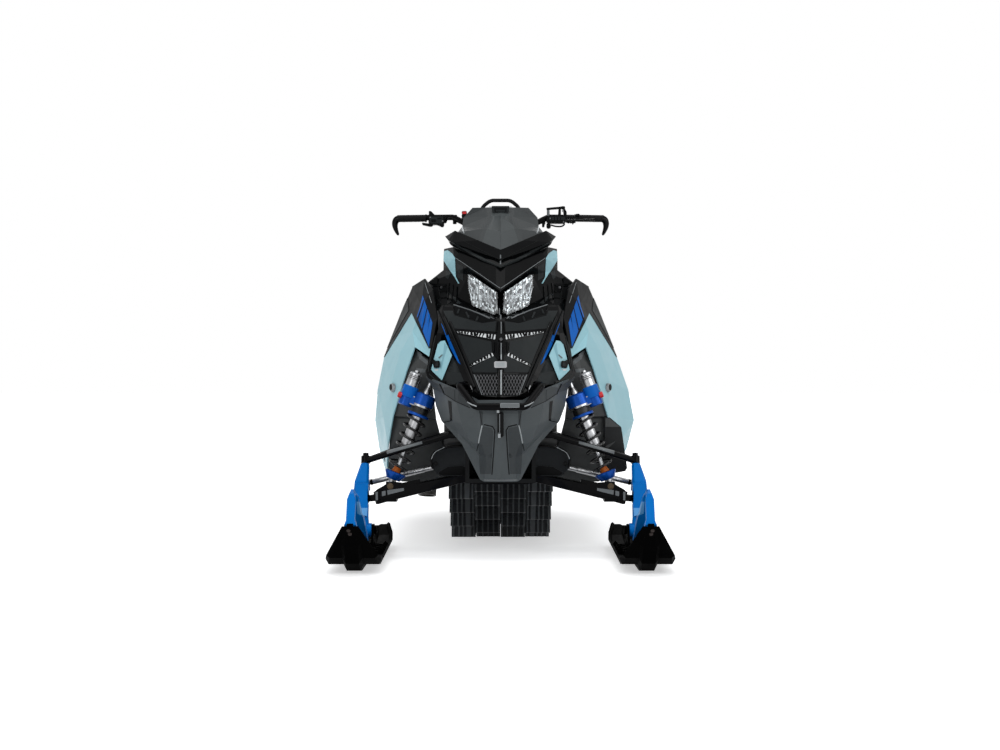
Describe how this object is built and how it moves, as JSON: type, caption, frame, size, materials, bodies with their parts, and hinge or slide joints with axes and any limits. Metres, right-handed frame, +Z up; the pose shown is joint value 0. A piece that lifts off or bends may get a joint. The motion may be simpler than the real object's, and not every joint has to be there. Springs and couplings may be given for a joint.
{
  "type": "mountain snowmobile",
  "caption": "Single-seat tracked snow vehicle with two steered skis, a long lugged track under a tunnel, a hooked handlebar and faceted body panels.",
  "frame": {"origin": "on the ground under the middle of the overall length and width", "axes": "-Y is forward, +X is the rider's left, +Z is up"},
  "size_m": [1.128, 3.15, 1.294],
  "materials": {
    "teal_plastic": "gloss",
    "black_gloss": "gloss",
    "black_plastic": "matte",
    "grey_plastic": "matte",
    "tint": "gloss",
    "blue_metal": "gloss",
    "blue_plastic": "gloss",
    "black_metal": "satin",
    "frame_metal": "satin",
    "alloy": "satin",
    "cast": "matte",
    "steel": "satin",
    "spring_steel": "gloss",
    "rubber": "matte",
    "seat_cover": "matte",
    "lens": "gloss",
    "red_lens": "gloss"
  },
  "bodies": {
    "chassis": {"belly_pan": "black_plastic", "bulkhead": "cast", "console": "black_plastic", "drive_axle": "steel", "engine_block": "cast", "exhaust_outlet": "steel", "fender_left": "grey_plastic", "fender_right": "grey_plastic", "front_bumper": "black_metal", "front_shocks": "alloy", "front_springs": "spring_steel", "headlights": "lens", "hood": "black_gloss", "lower_arms": "black_metal", "nose_cover": "grey_plastic", "over_frame": "frame_metal", "rear_bumper": "black_metal", "rear_idlers": "black_plastic", "running_board_left": "black_metal", "running_board_right": "black_metal", "seat": "seat_cover", "side_panel_left": "teal_plastic", "side_panel_right": "teal_plastic", "skid_arms": "black_metal", "skid_rails": "alloy", "snow_flap": "rubber", "tail_lamp": "red_lens", "track": "rubber", "tunnel": "alloy", "upper_arms": "black_metal", "visor": "black_gloss", "windshield": "tint"},
    "steering": {"steering_post": "steel", "handlebar": "black_metal", "grips": "rubber", "hand_controls": "black_plastic", "grab_strap": "rubber"},
    "spindle_left": {"spindle_left": "blue_metal"},
    "spindle_right": {"spindle_right": "blue_metal"},
    "tie_rod_left": {"tie_rod_left": "alloy"},
    "tie_rod_right": {"tie_rod_right": "alloy"},
    "ski_left": {"ski_left": "black_plastic", "ski_loop_left": "blue_plastic"},
    "ski_right": {"ski_right": "black_plastic", "ski_loop_right": "blue_plastic"}
  },
  "joints": [
    {"name": "steering", "type": "hinge", "parent": "chassis", "child": "steering", "pos_m": [0, -0.425, 1.168], "axis": [0, 0.5001, 0.8659], "range_deg": [-32.5, 32.5]},
    {"name": "kingpin_left", "type": "hinge", "parent": "chassis", "child": "spindle_left", "pos_m": [0.472, -0.975, 0.1], "axis": [0, 0.342, 0.9397], "range_deg": [-26, 26]},
    {"name": "tie_rod_pivot_left", "type": "hinge", "parent": "spindle_left", "child": "tie_rod_left", "pos_m": [0.472, -0.83193, 0.25332], "axis": [0, 0.342, 0.9397], "range_deg": [-26, 26]},
    {"name": "ski_pitch_left", "type": "hinge", "parent": "spindle_left", "child": "ski_left", "pos_m": [0.472, -0.975, 0.1], "axis": [1, 0, 0], "range_deg": [-20, 12]},
    {"name": "kingpin_right", "type": "hinge", "parent": "chassis", "child": "spindle_right", "pos_m": [-0.472, -0.975, 0.1], "axis": [0, 0.342, 0.9397], "range_deg": [-26, 26]},
    {"name": "tie_rod_pivot_right", "type": "hinge", "parent": "spindle_right", "child": "tie_rod_right", "pos_m": [-0.472, -0.83193, 0.25332], "axis": [0, 0.342, 0.9397], "range_deg": [-26, 26]},
    {"name": "ski_pitch_right", "type": "hinge", "parent": "spindle_right", "child": "ski_right", "pos_m": [-0.472, -0.975, 0.1], "axis": [1, 0, 0], "range_deg": [-20, 12]}
  ],
  "couplings": [
    {"joint": "kingpin_left", "follows": "steering", "ratio": 0.8},
    {"joint": "tie_rod_pivot_left", "follows": "steering", "ratio": -0.8},
    {"joint": "kingpin_right", "follows": "steering", "ratio": 0.8},
    {"joint": "tie_rod_pivot_right", "follows": "steering", "ratio": -0.8}
  ]
}
